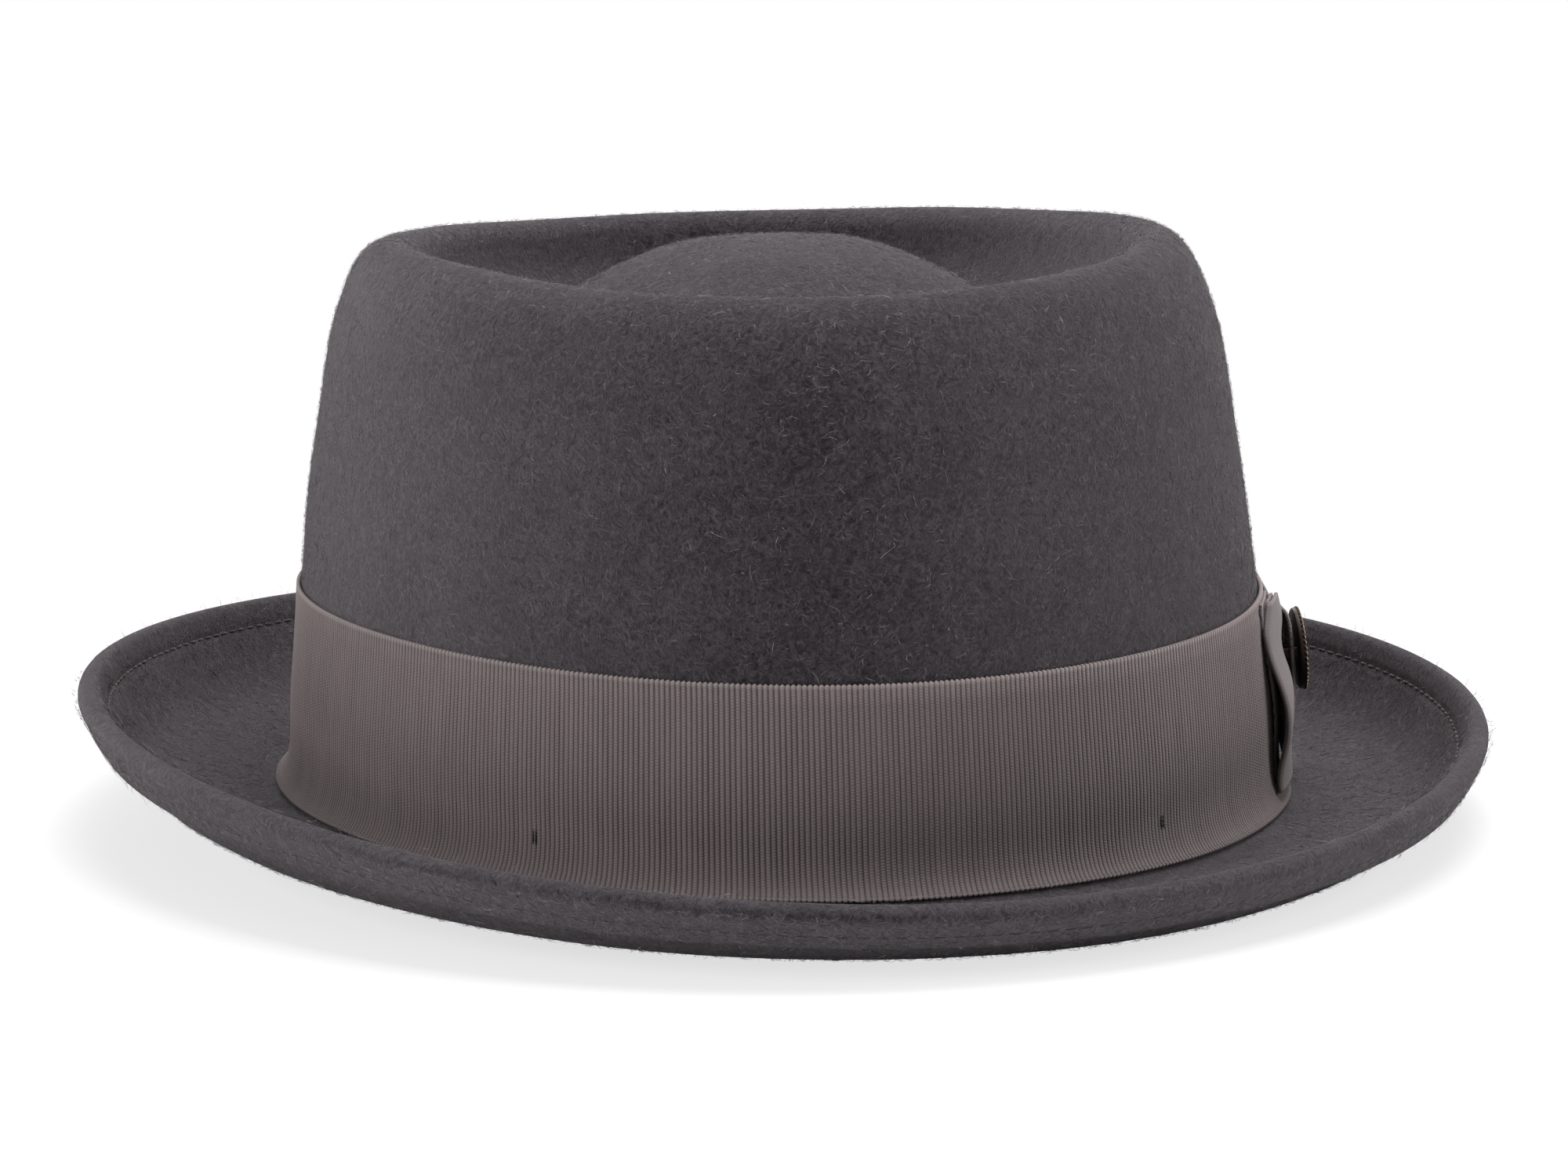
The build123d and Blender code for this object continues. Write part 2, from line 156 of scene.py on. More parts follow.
def on_block(way, depth, turn):
    """Where felt comes to lie: the way along it, the depth inwards and the turn from the left."""
    way, depth, turn = np.broadcast_arrays(way, depth, turn)
    past = np.clip(way - felt_length, 0, None)
    x = np.interp(way, line_way, block_line[:, 0])
    z = np.interp(way, line_way, block_line[:, 1])
    heading_x = np.interp(way, line_way, line_heading[:, 0])
    heading_z = np.interp(way, line_way, line_heading[:, 1])
    swell = np.sin(5 * turn + 60 * way + 1) + np.sin(3 * turn - 95 * way + 2)
    swell += np.sin(9 * turn + 130 * way + 4) + np.sin(2 * turn + 40 * way)
    depth = depth + 0.00009 * swell * np.clip(x / 0.05, 0, 1)
    half_width = np.maximum(x + heading_z * depth + heading_x * past, 1e-7)
    height = z - heading_x * depth + heading_z * past
    over = np.clip(x - crown_half_width, 0, None) / brim_reach_side
    longer = extra_half_length * np.clip(x / gutter_half_width, 0, 1)
    half_length = half_width + longer + (brim_reach_end - brim_reach_side) * over
    rise = np.where(over > 0, 0, (z - break_height) / crown_rise)
    level = np.clip(x / gutter_half_width, 0, 1)
    warp = []
    for at_break, at_edge, at_rim in ((0.3, -3.9, 1.4), (0.5, 2.9, 1.8), (-1.9, -4.0, 0.0)):
        brim_warp = (at_edge - at_break) * over * over
        warp.append((at_break + brim_warp + (at_rim - at_break) * rise) * level / 1000)
    forward, saddle, roll = warp
    across = (np.abs(np.cos(turn)) / half_width) ** oval_power
    reach = (across + (np.abs(np.sin(turn)) / half_length) ** oval_power) ** (-1 / oval_power)
    up = height - forward * np.sin(turn) + saddle * np.cos(2 * turn) + roll * np.cos(turn)
    shift = np.clip(rise, 0, None) / 1000
    x, y = reach * np.cos(turn) - shift, reach * np.sin(turn) - 2.8 * shift
    return np.stack([x, y, up], axis=-1)


def points_of(piece):
    """A piece's points, as rows of x, y and z."""
    flat = np.empty(len(piece.data.vertices) * 3)
    piece.data.vertices.foreach_get("co", flat)
    return flat.reshape(-1, 3)


def place_points(piece, points):
    """Move a piece's points to rows of x, y and z."""
    piece.data.vertices.foreach_set("co", np.ravel(points))
    piece.data.update()


def spin_flat(name, outline, steps=256, closed=True):
    """Spin an outline of (way, depth) corners once round the crown's tip."""
    bpy.ops.mesh.primitive_circle_add(vertices=len(outline), radius=1)
    piece = bpy.context.object
    piece.name = piece.data.name = name
    for vertex, (way, depth) in zip(piece.data.vertices, outline):
        vertex.co = (way, 0, -depth)
    bpy.ops.object.mode_set(mode="EDIT")
    if not closed:
        bpy.ops.mesh.select_all(action="DESELECT")
        bpy.ops.object.mode_set(mode="OBJECT")
        last = len(outline) - 1
        for edge in piece.data.edges:
            edge.select = set(edge.vertices) == {0, last}
        bpy.ops.object.mode_set(mode="EDIT")
        bpy.ops.mesh.select_mode(type="EDGE")
        bpy.ops.mesh.delete(type="EDGE_FACE")
    bpy.ops.mesh.select_mode(type="VERT")
    bpy.ops.mesh.select_all(action="SELECT")
    bpy.ops.mesh.spin(steps=steps, angle=2 * pi, center=(0, 0, 0), axis=(0, 0, 1))
    bpy.ops.mesh.select_all(action="SELECT")
    bpy.ops.mesh.remove_doubles(threshold=1e-6)
    bpy.ops.mesh.normals_make_consistent(inside=False)
    bpy.ops.object.mode_set(mode="OBJECT")
    bpy.ops.object.shade_smooth()
    return piece


def pull_over_block(piece):
    """Pull a flat spun piece over the block."""
    x, y, z = points_of(piece).T
    place_points(piece, on_block(np.hypot(x, y), -z, np.arctan2(y, x)))
    return piece


seam_way = felt_length - seam_inset
outer_ways = np.union1d(np.linspace(0, felt_length, 132), seam_way + np.linspace(-0.002, 0.002, 9))
felt_outline = [(w, 0.0004 * np.exp(-(((w - seam_way) / 0.0008) ** 2))) for w in outer_ways]
for degrees_round in range(20, 180, 20):
    turn = radians(degrees_round)
    edge_depth = felt_thickness * (1 - cos(turn))
    felt_outline.append((felt_length + felt_thickness * sin(turn), edge_depth))
welt_start = felt_length - welt_width
felt_outline += [(w, 2 * felt_thickness) for w in np.linspace(felt_length, welt_start + 0.0003, 8)]
for back, depth in ((0.0002, 0.0041), (0.0003, 0.0033), (0.0004, 0.0025)):
    felt_outline.append((welt_start - back, depth))
felt_outline += [(w, felt_thickness) for w in np.linspace(welt_start - 0.0009, 0, 76)]
felt_body = pull_over_block(spin_flat("felt", felt_outline, 288, closed=False))


def put(tree, kind, inputs=None, **settings):
    """Add a shader node; an input is a value, or the socket that feeds it."""
    node = tree.nodes.new("ShaderNode" + kind)
    for name, value in settings.items():
        setattr(node, name, value)
    for name, value in (inputs or {}).items():
        if isinstance(value, bpy.types.NodeSocket):
            tree.links.new(value, node.inputs[name])
        else:
            node.inputs[name].default_value = value
    return node


def maths(tree, operation, *values):
    """The result of one step of arithmetic."""
    return put(tree, "Math", dict(enumerate(values)), operation=operation).outputs[0]


def remap(tree, value, low, high, new_low, new_high):
    """A value carried from one range to another, and held inside it."""
    return put(tree, "MapRange", {0: value, 1: low, 2: high, 3: new_low, 4: new_high}).outputs[0]


def own_place(tree):
    """A place in the object's own coordinates, in metres."""
    return put(tree, "TexCoord").outputs["Object"]


def noise(tree, place, scale, **settings):
    """Noise of so many features a metre."""
    return put(tree, "TexNoise", {"Vector": place, "Scale": scale, **settings}).outputs[0]


def add_relief(tree, shader, height, strength, distance):
    """Let a height bend the way the surface faces."""
    bump = put(tree, "Bump", {"Height": height, "Strength": strength, "Distance": distance})
    tree.links.new(bump.outputs[0], shader["Normal"])


def blend_colours(tree, amount, first, second):
    """The colour part of the way from one to another."""
    return put(tree, "Mix", {0: amount, 6: first, 7: second}, data_type="RGBA").outputs[2]


def new_group(name, inputs, outputs):
    """A shader node group with named inputs and outputs."""
    group = bpy.data.node_groups.new(name, "ShaderNodeTree")
    for label, (kind, value) in inputs.items():
        socket = group.interface.new_socket(label, in_out="INPUT", socket_type="NodeSocket" + kind)
        if value is not None:
            socket.default_value = value
    for label, kind in outputs.items():
        group.interface.new_socket(label, in_out="OUTPUT", socket_type="NodeSocket" + kind)
    entrance, way_out = group.nodes.new("NodeGroupInput"), group.nodes.new("NodeGroupOutput")
    return group, entrance.outputs, way_out.inputs


def new_material(name, values):
    """A material, its node tree and its shader, with plain values on the shader's own sockets."""
    material = bpy.data.materials.new(name)
    material.use_nodes = True
    shader = material.node_tree.nodes["Principled BSDF"]
    for socket, value in values.items():
        shader.inputs[socket].default_value = value
    return material, material.node_tree, shader.inputs


def srgb(red, green, blue):
    """A colour written as it looks on screen, 0 to 255."""
    return [((c / 255 + 0.055) / 1.055) ** 2.4 for c in (red, green, blue)] + [1.0]


# Wool: a melange of charcoal fibres, with slow cloudiness, millimetre clumps painted with light
# and shade, and fine hairs.
wool, wool_in, wool_out = new_group(
    "wool_melange_and_shade",
    {"Place": ("Vector", None), "Main": ("Color", (0, 0, 0, 1)), "Light": ("Color", (0, 0, 0, 1)),
     "Dark": ("Color", (0, 0, 0, 1))},
    {"Color": "Color", "Height": "Float"},
)
clouds = noise(wool, wool_in["Place"], 70, Detail=3)
clumps = noise(wool, wool_in["Place"], 640, Detail=5, Roughness=0.75, Distortion=1.8)
hairs = noise(wool, wool_in["Place"], 2300, Detail=2, Roughness=0.8, Distortion=2.5)
# The clumps are painted light on their raised tops and painted shade in the hollows, following the
# same noise as the relief.
raised_light_share = remap(wool, clumps, 0.50, 0.66, 0.0, 0.80)
hollow_shade_share = remap(wool, clumps, 0.50, 0.36, 0.0, 0.90)
cloud_share = remap(wool, clouds, 0.42, 0.75, 0.0, 0.22)
hair_share = remap(wool, hairs, 0.60, 0.82, 0.0, 0.7)
wool_colour = blend_colours(wool, cloud_share, wool_in["Main"], wool_in["Light"])
wool_colour = blend_colours(wool, hollow_shade_share, wool_colour, wool_in["Dark"])
wool_colour = blend_colours(wool, raised_light_share, wool_colour, wool_in["Light"])
wool_colour = blend_colours(wool, hair_share, wool_colour, wool_in["Light"])
wool.links.new(wool_colour, wool_out["Color"])
fluff = maths(wool, "MULTIPLY", hairs, 0.45)
fluff = maths(wool, "ADD", fluff, clumps)
wool.links.new(fluff, wool_out["Height"])

felt_main = srgb(53, 48, 54)
felt_light = srgb(97, 89, 95)
# The darkest colour is painted shade for the hollows between the clumps.
felt_hollow_shade = srgb(25, 22, 26)
felt_material, tree, shader = new_material(
    "wool_felt",
    {"Roughness": 0.95, "Specular IOR Level": 0.06, "Sheen Weight": 0.30, "Sheen Roughness": 0.30,
     "Sheen Tint": (0.95, 0.89, 0.92, 1)},
)
place = own_place(tree)
fibres = {"Place": place, "Main": felt_main, "Light": felt_light, "Dark": felt_hollow_shade}
wool_here = put(tree, "Group", fibres, node_tree=wool)
tree.links.new(wool_here.outputs["Color"], shader["Base Color"])
add_relief(tree, shader, wool_here.outputs["Height"], 1.0, 0.0013)
felt_body.data.materials.append(felt_material)
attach(felt_body, "root")
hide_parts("felt_body")


# Nap: the loose ends of the wool, short hairs all over the felt and a few longer stray ones. Each
# is a narrow tapered blade rooted in the felt, lying nearly flat.
rng = np.random.default_rng(7)


def new_piece(name, points, faces):
    """A piece made of points and faces."""
    mesh = bpy.data.meshes.new(name)
    mesh.from_pydata(points.tolist(), [], faces)
    piece = bpy.data.objects.new(name, mesh)
    bpy.context.collection.objects.link(piece)
    return piece


def lay_nap(name, count, first_way, last_way, under):
    """Scatter hairs over a stretch of the felt, on its outer or under side."""
    ways = np.linspace(first_way, last_way, 400)
    girth = np.cumsum(np.interp(ways, line_way, block_line[:, 0]) + 0.008)
    way = np.interp(rng.random(count) * girth[-1], girth, ways)
    turn = rng.random(count) * 2 * pi
    long_ones = rng.random(count) < 0.25
    long_length = rng.uniform(0.0018, 0.0036, count)
    length = np.where(long_ones, long_length, rng.uniform(0.0007, 0.0014, count))
    long_lift = rng.uniform(0.00008, 0.00025, count)
    lift = np.where(long_ones, long_lift, rng.uniform(0.00015, 0.00040, count))
    lean = rng.uniform(0, 2 * pi, count)
    curl = rng.uniform(-1.4, 1.4, count)
    roll = rng.uniform(0, pi, count)
    width = rng.uniform(0.00004, 0.00009, count)
    end_lift = rng.uniform(0.2, 1.5, count)
    girth_here = np.interp(way, line_way, block_line[:, 0]) + 0.008
    layers = np.where(way > welt_start, 2, 1) if under else np.zeros(count)
    floor = layers * felt_thickness
    outward = 1 if under else -1
    corners = []
    spot_way = way.copy()
    spot_round = np.zeros(count)
    for step, (height, taper) in enumerate(((-0.3, 1.0), (1.0, 0.8), (end_lift, 0.25))):
        if step:
            bearing = lean + curl * (step - 1)
            spot_way = spot_way + 0.5 * length * np.cos(bearing)
            spot_round = spot_round + 0.5 * length * np.sin(bearing)
        for side in (-0.5, 0.5):
            across = side * width * taper
            depth = floor + outward * (height * lift + across * np.sin(roll))
            along = spot_way - across * np.cos(roll) * np.sin(lean)
            around = spot_round + across * np.cos(roll) * np.cos(lean)
            corners.append(on_block(np.abs(along), depth, turn + around / girth_here))
    points = np.stack(corners, axis=1).reshape(-1, 3)
    first = np.arange(count)[:, None] * 6
    faces = np.concatenate([first + [0, 1, 3, 2], first + [2, 3, 5, 4]], axis=1).reshape(-1, 4)
    piece = new_piece(name, points, faces.tolist())
    shade = piece.data.attributes.new("shade", "FLOAT", "POINT")
    shade.data.foreach_set("value", np.repeat(rng.random(count) ** 1.3, 6))
    piece.data.materials.append(nap_material)
    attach(piece, "root")


nap_material, tree, shader = new_material(
    "wool_nap",
    {"Roughness": 0.9, "Specular IOR Level": 0.1, "Sheen Weight": 0.3, "Sheen Roughness": 0.5},
)
shade = put(tree, "Attribute", attribute_name="shade").outputs["Fac"]
patch = noise(tree, own_place(tree), 900)
shade = maths(tree, "MULTIPLY", shade, patch)
nap_colour = blend_colours(tree, shade, srgb(34, 31, 34), srgb(190, 179, 182))
tree.links.new(nap_colour, shader["Base Color"])
lay_nap("nap_crown", 46000, 0.004, wall_way(0.036), False)
lay_nap("nap_brim", 30000, wall_way(-0.5), felt_length + 0.002, False)
lay_nap("nap_under_brim", 26000, wall_way(-0.5), felt_length + 0.002, True)


# Brim stitching: one row of lock stitches a little in from the brim's edge holds the welt. A
# stitch is modelled once, a short bent length of thread, and copied round the brim on both sides.
thread_radius = 0.00022


def one_stitch(length, sink):
    """The points and faces of one stitch along x, its ends bent down into the cloth."""
    bpy.ops.mesh.primitive_cylinder_add(vertices=6, radius=1, depth=1, rotation=(0, pi / 2, 0))
    stitch = bpy.context.object
    bpy.ops.object.transform_apply()
    bpy.ops.object.mode_set(mode="EDIT")
    bpy.ops.mesh.select_all(action="SELECT")
    for k in (-0.4, -0.22, 0.22, 0.4):
        bpy.ops.mesh.bisect(plane_co=(k, 0, 0), plane_no=(1, 0, 0))
        bpy.ops.mesh.select_all(action="SELECT")
    bpy.ops.object.mode_set(mode="OBJECT")
    points = points_of(stitch)
    x = points[:, 0].copy()
    girth = thread_radius * (1 - 0.65 * (2 * np.abs(x)) ** 4)
    sunk = sink * (2 * x) ** 4
    points = np.stack([x * length, points[:, 1] * girth, points[:, 2] * girth - sunk], 1)
    faces = [list(polygon.vertices) for polygon in stitch.data.polygons]
    bpy.data.objects.remove(stitch)
    return points, faces


def repeat_faces(pattern, count):
    """A pattern's faces once for each copy of its points."""
    points, faces = pattern
    return [[corner + k * len(points) for corner in face] for k in range(count) for face in faces]


def copy_round(name, pattern, spots, material):
    """Join copies of a pattern into one piece; each spot holds the points of one copy."""
    piece = new_piece(name, np.concatenate(spots), repeat_faces(pattern, len(spots)))
    piece.data.shade_smooth()
    piece.data.materials.append(material)
    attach(piece, "root")
    return piece


def ring_table(way, depth):
    """Turns round the hat and the distance round it at each, on the ring at a way and depth."""
    turns = np.linspace(0, 2 * pi, 1441)
    ring = on_block(way, depth, turns)
    return turns, np.concatenate([[0], np.cumsum(np.linalg.norm(np.diff(ring, axis=0), axis=1))])


def stitch_row(pattern, way, depth, pitch, side, lean=0.0):
    """Places for stitches of an even pitch round the hat; side is 1 for the outer face."""
    turns, distance = ring_table(way, depth)
    count = round(distance[-1] / pitch)
    spots = []
    points = pattern[0]
    for k in range(count):
        along = (k + 0.5) / count * distance[-1] + points[:, 0]
        turn = np.interp(along % distance[-1], distance, turns)
        aside = way + points[:, 1] + lean * points[:, 0]
        spots.append(on_block(aside, depth - side * points[:, 2], turn))
    return spots


def stripes(tree, place, scale, distortion, direction):
    """Soft light and dark stripes that follow one another along a direction."""
    inputs = {"Vector": place, "Scale": scale, "Distortion": distortion}
    return put(tree, "TexWave", inputs, bands_direction=direction).outputs["Fac"]


thread_material, tree, shader = new_material(
    "sewing_thread", {"Roughness": 0.7, "Specular IOR Level": 0.3, "Sheen Weight": 0.2}
)
place = own_place(tree)
twist = stripes(tree, place, 900, 1.5, "DIAGONAL")
thread_colour = blend_colours(tree, twist, srgb(34, 31, 33), srgb(62, 57, 60))
tree.links.new(thread_colour, shader["Base Color"])
add_relief(tree, shader, twist, 0.5, 0.0001)
stitch_pitch = 0.0032
under_depth = 2 * felt_thickness + 0.00005
brim_stitch = one_stitch(0.0027, 0.0005)
upper_row = stitch_row(brim_stitch, seam_way, thread_radius, stitch_pitch, 1)
lower_row = stitch_row(brim_stitch, seam_way, under_depth, stitch_pitch, -1)
brim_stitching = copy_round("brim_stitches", brim_stitch, upper_row + lower_row, thread_material)
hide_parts("brim_stitching")


# Hatband: a grosgrain ribbon, woven with a thick cord across it at every rib and a looped picot
# edge, laid flat round the foot of the crown with its lower edge eased over the break.
band_width = 0.038
band_foot = wall_way(-0.0002)
band_depth = -0.00065
band_thickness = 0.0006
rib_pitch_wanted = 0.00095
picot_width = 0.0009
yarn_pitch = 0.00052
bow_turn = radians(-4.5)

grosgrain, grosgrain_in, grosgrain_out = new_group(
    "grosgrain",
    {"Flat": ("Vector", None), "Pitch": ("Float", 0.00095), "Cord": ("Color", (0, 0, 0, 1)),
     "Groove Shade": ("Color", (0, 0, 0, 1))},
    {"Color": "Color", "Height": "Float"},
)
flat = put(grosgrain, "SeparateXYZ", {0: grosgrain_in["Flat"]}).outputs
rib_number = maths(grosgrain, "DIVIDE", flat[0], grosgrain_in["Pitch"])
rib_phase = maths(grosgrain, "MULTIPLY", rib_number, 2 * pi)
rib = maths(grosgrain, "COSINE", rib_phase)
rib = remap(grosgrain, rib, -1.0, 0.6, 0.0, 1.0)
rounded = maths(grosgrain, "ROUND", rib_number)
stagger = maths(grosgrain, "MULTIPLY", rounded, pi)
yarn = maths(grosgrain, "MULTIPLY", flat[1], 2 * pi / yarn_pitch)
yarn = maths(grosgrain, "ADD", yarn, stagger)
yarn = maths(grosgrain, "SINE", yarn)
yarn = remap(grosgrain, yarn, -1.0, 1.0, 0.0, 1.0)
drawn_out = put(grosgrain, "Mapping", {0: grosgrain_in["Flat"], 3: (900, 60, 1)}).outputs[0]
streaks = noise(grosgrain, drawn_out, 1.0, Detail=3)
slubs = noise(grosgrain, grosgrain_in["Flat"], 2600, Detail=2)
# The colour follows the relief: lighter on the raised cords and yarns, painted shade in the
# grooves; the drawn-out streaks are the yarn's own tone.
raised = maths(grosgrain, "MULTIPLY", yarn, 0.55)
raised = maths(grosgrain, "ADD", raised, rib)
raised = maths(grosgrain, "MULTIPLY_ADD", slubs, 0.35, raised)
lit = maths(grosgrain, "MULTIPLY_ADD", streaks, 0.9, raised)
lit = remap(grosgrain, lit, 0.35, 2.0, 0.0, 1.0)
woven = blend_colours(grosgrain, lit, grosgrain_in["Groove Shade"], grosgrain_in["Cord"])
grosgrain.links.new(woven, grosgrain_out["Color"])
grosgrain.links.new(raised, grosgrain_out["Height"])


def ribbon_material(name, pitch, cord, groove_shade, edge, width, relief):
    """Grosgrain of a given rib pitch, its grooves painted dark as shade, with paler picot edges on
    a ribbon of a given width.
    """
    material, tree, shader = new_material(
        name,
        {"Roughness": 0.75, "Specular IOR Level": 0.14, "Sheen Weight": 0.12,
         "Sheen Roughness": 0.35},
    )
    flat = put(tree, "UVMap", uv_map="flat").outputs[0]
    yarns = {"Flat": flat, "Pitch": pitch, "Cord": cord, "Groove Shade": groove_shade}
    weave = put(tree, "Group", yarns, node_tree=grosgrain)
    height = put(tree, "SeparateXYZ", {0: flat}).outputs[1]
    from_middle = maths(tree, "SUBTRACT", height, width / 2)
    from_middle = maths(tree, "ABSOLUTE", from_middle)
    picot = remap(tree, from_middle, width / 2 - picot_width, width / 2 - 0.0002, 0.0, 0.8)
    beads = remap(tree, weave.outputs["Height"], 0.2, 1.1, 0.25, 1.0)
    picot = maths(tree, "MULTIPLY", picot, beads)
    colour = blend_colours(tree, picot, weave.outputs["Color"], edge)
    tree.links.new(colour, shader["Base Color"])
    add_relief(tree, shader, weave.outputs["Height"], 0.6, relief)
    return material


def flat_strip(name, length, width, columns, rows, ease=1.0):
    """A flat length of cloth, one corner at the origin, with its own flat sizes as its UV map."""
    bpy.ops.mesh.primitive_grid_add(x_subdivisions=columns, y_subdivisions=rows, size=1)
    piece = bpy.context.object
    piece.name = piece.data.name = name
    points = points_of(piece) + [0.5, 0.5, 0]
    points[:, 0] *= length
    points[:, 1] = np.clip(points[:, 1], 0, 1) ** ease * width
    place_points(piece, points)
    layer = piece.data.uv_layers[0]
    layer.name = "flat"
    corner = np.empty(len(piece.data.loops), dtype=np.int32)
    piece.data.loops.foreach_get("vertex_index", corner)
    layer.data.foreach_set("uv", points[corner, :2].ravel())
    bpy.ops.object.shade_smooth()
    return piece


def lay_round(piece, low_way, depth, start, ring_way):
    """Lay a flat strip round the block: x goes round the hat, y up the wall and z off it."""
    turns, distance = ring_table(ring_way, depth)
    x, y, z = points_of(piece).T
    along = np.interp(start % (2 * pi), turns, distance) + x
    turn = np.interp(along % distance[-1], distance, turns)
    place_points(piece, on_block(low_way - y, depth - z, turn))


def pick(*pieces):
    """Select pieces, the first as the active one."""
    bpy.ops.object.select_all(action="DESELECT")
    for piece in pieces:
        piece.select_set(True)
    bpy.context.view_layer.objects.active = pieces[0]


def thicken(piece, thickness, offset=0.0):
    """Give a sheet its thickness, half to each side of its middle."""
    pick(piece)
    solid = piece.modifiers.new("thickness", "SOLIDIFY")
    solid.thickness = thickness
    solid.offset = offset
    bpy.ops.object.modifier_apply(modifier=solid.name)


band_middle = band_foot - band_width / 2
band_length = ring_table(band_middle, band_depth)[1][-1] - 0.0004
rib_count = round(band_length / rib_pitch_wanted)
rib_pitch = band_length / rib_count
hatband = flat_strip("hatband", band_length, band_width, rib_count * 4, 13, ease=1.35)
points = points_of(hatband)
rib_wave = np.cos(2 * pi * points[:, 0] / rib_pitch)
at_edge = np.minimum(points[:, 1], band_width - points[:, 1]) < 1e-5
outward_edge = np.where(points[:, 1] > band_width / 2, 1, -1)
points[:, 1] += at_edge * outward_edge * 0.00018 * (rib_wave - 1)
points[:, 2] += 0.00007 * rib_wave
place_points(hatband, points)
lay_round(hatband, band_foot, band_depth, bow_turn, band_middle)
thicken(hatband, band_thickness)
cord_colour = srgb(112, 102, 102)
# The groove colour is painted shade between the ribs.
groove_shade_colour = srgb(38, 34, 35)
picot_colour = srgb(138, 129, 127)
band_material = ribbon_material(
    "grosgrain_band", rib_pitch, cord_colour, groove_shade_colour, picot_colour, band_width, 0.00012
)
hatband.data.materials.append(band_material)
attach(hatband, "root")
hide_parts("hatband_ribbon")


# Ribbon tacks: short upright pairs of stitches in sewing thread, at four places near the band's
# lower edge. They are sewn through the ribbon and the felt, and hold the band to the crown.
tack_way = band_foot - 0.0085
tack_depth = band_depth - 0.00042
tack = one_stitch(0.0032, 0.0003)
tack_spots = []
turns, distance = ring_table(tack_way, band_depth)
for degrees_round in (-33, 33, 147, 213):
    middle = np.interp(radians(degrees_round - 90) % (2 * pi), turns, distance)
    for aside in (-0.00028, 0.00028):
        turn = np.interp(middle + aside + tack[0][:, 1], distance, turns)
        tack_spots.append(on_block(tack_way + tack[0][:, 0], tack_depth - tack[0][:, 2], turn))
ribbon_tacks = copy_round("ribbon_tack_stitches", tack, tack_spots, thread_material)
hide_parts("ribbon_tacks")


# Bow: cut from the same ribbon. A flat tail lies on the band, its ends cut on the slant and a
# little frayed; two folded loops lie on it, gathered at the middle, and a knot wraps them all.
bow_height = 0.034
bow_foot_gap = 0.003
bow_middle = band_foot - bow_foot_gap - bow_height / 2
bow_face = band_depth - 0.0003
bow_thickness = 0.0005
loop_thickness = 0.00045
bow_rib_pitch = 0.0008
waist = 0.63
# The bow is the band's ribbon with a paler painted groove shade for its finer, shallower ribs.
bow_material = ribbon_material(
    "grosgrain_bow", bow_rib_pitch, srgb(112, 103, 103), srgb(70, 64, 65),
    srgb(126, 117, 116), bow_height, 0.00006,
)


def bow_wave(share, seed):
    """How far a loop stands out in a wave from its top (1) to its foot (0)."""
    return np.sin(2 * pi * (1 - share - 0.32) / 0.9 + seed)


def lay_bow(piece, node, thickness):
    """Lay a bow piece on the side of the band; its origin is the middle of the bow."""
    lay_round(piece, bow_middle, bow_face, bow_turn, bow_middle)
    thicken(piece, thickness)
    piece.data.materials.append(bow_material)
    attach(piece, "root")
    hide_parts(node)


tail_length = 0.062
tail = flat_strip("bow_tail_ribbon", tail_length, bow_height, 110, 34)
points = points_of(tail)
u = points[:, 0] / tail_length * 2 - 1
v = points[:, 1] / bow_height
slant = 0.004 * (v - 0.5)
fray = 0.0005 * (np.sin(v * 140) + np.sin(v * 333 + 2)) * (np.abs(u) > 0.985)
points[:, 0] = u * tail_length / 2 + u**3 * slant + fray
gathered = 1 - (1 - waist) * np.clip(1 - np.abs(u) / 0.5, 0, 1) ** 1.4
points[:, 1] = (v - 0.5) * bow_height * gathered
points[:, 2] = 0.0003 + 0.0003 * np.abs(u) * (1 + bow_wave(v, 0.4))
place_points(tail, points)
lay_bow(tail, "bow_tail", bow_thickness)

loop_reach = 0.0335
path_length = 2 * loop_reach
fold_start = 0.93
for name, node, side in (
    ("bow_loop_front", "bow_front_loop", -1),
    ("bow_loop_rear", "bow_rear_loop", 1),
):
    loop = flat_strip(name, path_length, bow_height, 150, 40)
    points = points_of(loop)
    s = points[:, 0] / path_length
    v = points[:, 1] / bow_height
    upper = s > 0.5
    from_knot = np.clip(np.where(upper, 1 - s, s) * 2, 0, 1)
    folding = from_knot > fold_start
    fold = np.sqrt(np.clip(1 - ((from_knot - fold_start) / 0.07) ** 2, 0, 1))
    half_gap = 0.00042 * np.where(folding, fold, 1) * (1.2 - 0.2 * from_knot)
    gathered = 1 - (1 - waist) * np.clip(1 - from_knot / 0.6, 0, 1) ** 1.5
    wave = (0.0014 * bow_wave(v, 0.3 * side) + 0.0002) * from_knot**1.5
    pleat = 0.00055 * np.cos(5 * pi * (v - 0.5)) * np.clip(1 - from_knot, 0, 1) ** 0.8
    corner_cut = 0.005 * np.clip((v - 0.84) / 0.16, 0, 1) * from_knot**3
    points[:, 0] = side * (0.0004 + loop_reach * from_knot - corner_cut)
    points[:, 1] = (v - 0.5) * bow_height * gathered
    points[:, 2] = 0.0021 + np.where(upper, half_gap, -half_gap) + wave + pleat
    place_points(loop, points)
    if side > 0:
        loop.data.flip_normals()
    lay_bow(loop, node, loop_thickness)

